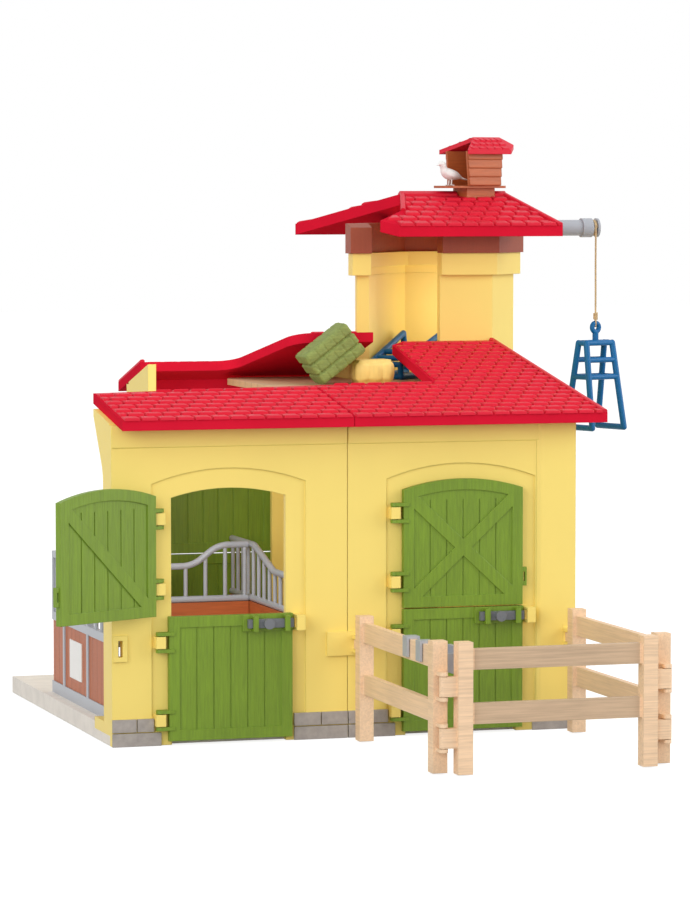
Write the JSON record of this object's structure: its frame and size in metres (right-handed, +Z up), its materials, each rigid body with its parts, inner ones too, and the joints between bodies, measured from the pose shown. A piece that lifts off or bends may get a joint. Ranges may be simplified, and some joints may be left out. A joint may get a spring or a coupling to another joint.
{
  "type": "toy horse stall",
  "caption": "Toy stable with split doors on hinge clips, sliding bolts, shingled roofs, open loft, hoist tower with dovecote, and a hinged fence yard.",
  "frame": {"origin": "middle of the base plate's underside", "axes": "+X right along the door front, +Y from the front to the back, +Z up"},
  "size_m": [0.34, 0.3533, 0.2746],
  "materials": {
    "wall_yellow": "moulded, fine satin grain",
    "roof_red": "moulded shingle relief, satin",
    "door_green": "moulded board grain, satin",
    "fitting_grey": "smooth satin",
    "stone_grey": "moulded stone relief, matt",
    "plinth_beige": "matt, slightly rough",
    "board_brown": "moulded board relief, satin",
    "frieze_brown": "moulded board relief, satin",
    "floor_tan": "moulded board relief, satin",
    "fence_tan": "moulded wood grain, satin",
    "rack_blue": "smooth, slightly glossy",
    "hay_green": "moulded hay relief, matt",
    "straw_yellow": "moulded straw relief, matt",
    "dove_white": "matt",
    "rope_cord": "twisted cord",
    "plate_white": "plain, unprinted"
  },
  "bodies": {
    "building": {"plinth": "plinth_beige", "stone_footings": "stone_grey", "front_wall_left": "wall_yellow", "front_wall_right": "wall_yellow", "right_side_wall": "wall_yellow", "back_wall": "wall_yellow", "hinge_clips_left": "wall_yellow", "hinge_clips_right": "wall_yellow", "hinge_clips_back": "wall_yellow", "roof_front_left": "roof_red", "roof_front_right": "roof_red", "roof_back": "roof_red", "loft_floor": "floor_tan", "loft_post": "wall_yellow", "partition_boards": "board_brown", "partition_grille": "fitting_grey", "cross_boards": "board_brown", "cross_grille": "fitting_grey", "stall_front_frame": "fitting_grey", "stall_front_boards": "board_brown", "name_plate": "plate_white", "tower_shaft": "wall_yellow", "tower_collar": "wall_yellow", "tower_frieze": "frieze_brown", "tower_floor": "floor_tan", "tower_roof_front": "roof_red", "tower_roof_back": "roof_red", "dovecote_foot": "board_brown", "dovecote_perch": "board_brown", "dovecote_house": "board_brown", "dovecote_roof": "roof_red", "dove": "dove_white", "crane_arm": "fitting_grey", "rope_guide": "fitting_grey", "hoist_rope": "rope_cord", "rack_lying": "rack_blue", "hay_bale": "hay_green", "straw_bundle": "straw_yellow", "fence_clip_left": "wall_yellow", "fence_clip_right": "wall_yellow"},
    "door_left_upper": {"door_left_upper": "door_green"},
    "door_left_lower": {"door_left_lower": "door_green"},
    "door_right_upper": {"door_right_upper": "door_green"},
    "door_right_lower": {"door_right_lower": "door_green"},
    "door_back_upper": {"door_back_upper": "door_green"},
    "door_back_lower": {"door_back_lower": "door_green"},
    "bolt_left": {"bolt_left": "fitting_grey"},
    "bolt_right": {"bolt_right": "fitting_grey"},
    "bolt_back": {"bolt_back": "fitting_grey"},
    "fence_left": {"fence_left": "fence_tan", "feed_trough": "fitting_grey"},
    "fence_front": {"fence_front": "fence_tan"},
    "fence_right": {"fence_right": "fence_tan"},
    "rack": {"rack_hung": "rack_blue"}
  },
  "joints": [
    {"name": "door_left_upper_swing", "type": "hinge", "parent": "building", "child": "door_left_upper", "pos_m": [-0.0884, -0.1047, 0], "axis": [0, 0, 1], "range_deg": [-8, 151]},
    {"name": "door_left_lower_swing", "type": "hinge", "parent": "building", "child": "door_left_lower", "pos_m": [-0.0884, -0.1047, 0], "axis": [0, 0, 1], "range_deg": [-150, 0]},
    {"name": "door_right_upper_swing", "type": "hinge", "parent": "building", "child": "door_right_upper", "pos_m": [0.02175, -0.1047, 0], "axis": [0, 0, 1], "range_deg": [-95, 0]},
    {"name": "door_right_lower_swing", "type": "hinge", "parent": "building", "child": "door_right_lower", "pos_m": [0.02175, -0.1047, 0], "axis": [0, 0, 1], "range_deg": [-95, 0]},
    {"name": "door_back_upper_swing", "type": "hinge", "parent": "building", "child": "door_back_upper", "pos_m": [0.0288, 0.1047, 0], "axis": [0, 0, 1], "range_deg": [-150, 0]},
    {"name": "door_back_lower_swing", "type": "hinge", "parent": "building", "child": "door_back_lower", "pos_m": [0.0288, 0.1047, 0], "axis": [0, 0, 1], "range_deg": [-150, 0]},
    {"name": "bolt_left_slide", "type": "slide", "parent": "door_left_lower", "child": "bolt_left", "axis": [1, 0, 0], "range_m": [0, 0.0045]},
    {"name": "bolt_right_slide", "type": "slide", "parent": "door_right_lower", "child": "bolt_right", "axis": [1, 0, 0], "range_m": [0, 0.0045]},
    {"name": "bolt_back_slide", "type": "slide", "parent": "door_back_lower", "child": "bolt_back", "axis": [-1, 0, 0], "range_m": [0, 0.0045]},
    {"name": "fence_left_swing", "type": "hinge", "parent": "building", "child": "fence_left", "pos_m": [0.0035, -0.1075, 0], "axis": [0, 0, 1], "range_deg": [-25, 0]},
    {"name": "fence_front_swing", "type": "hinge", "parent": "fence_left", "child": "fence_front", "pos_m": [0.0035, -0.2285, 0], "axis": [0, 0, 1], "range_deg": [0, 25]},
    {"name": "fence_right_swing", "type": "hinge", "parent": "building", "child": "fence_right", "pos_m": [0.1055, -0.1075, 0], "axis": [0, 0, 1], "range_deg": [-25, 0]},
    {"name": "hoist_lift", "type": "slide", "parent": "building", "child": "rack", "axis": [0, 0, 1], "range_m": [0, 0.025], "deforming": ["hoist_rope"]}
  ],
  "couplings": [
    {"joint": "fence_front_swing", "follows": "fence_left_swing", "ratio": -1},
    {"joint": "fence_right_swing", "follows": "fence_left_swing", "ratio": 1}
  ]
}
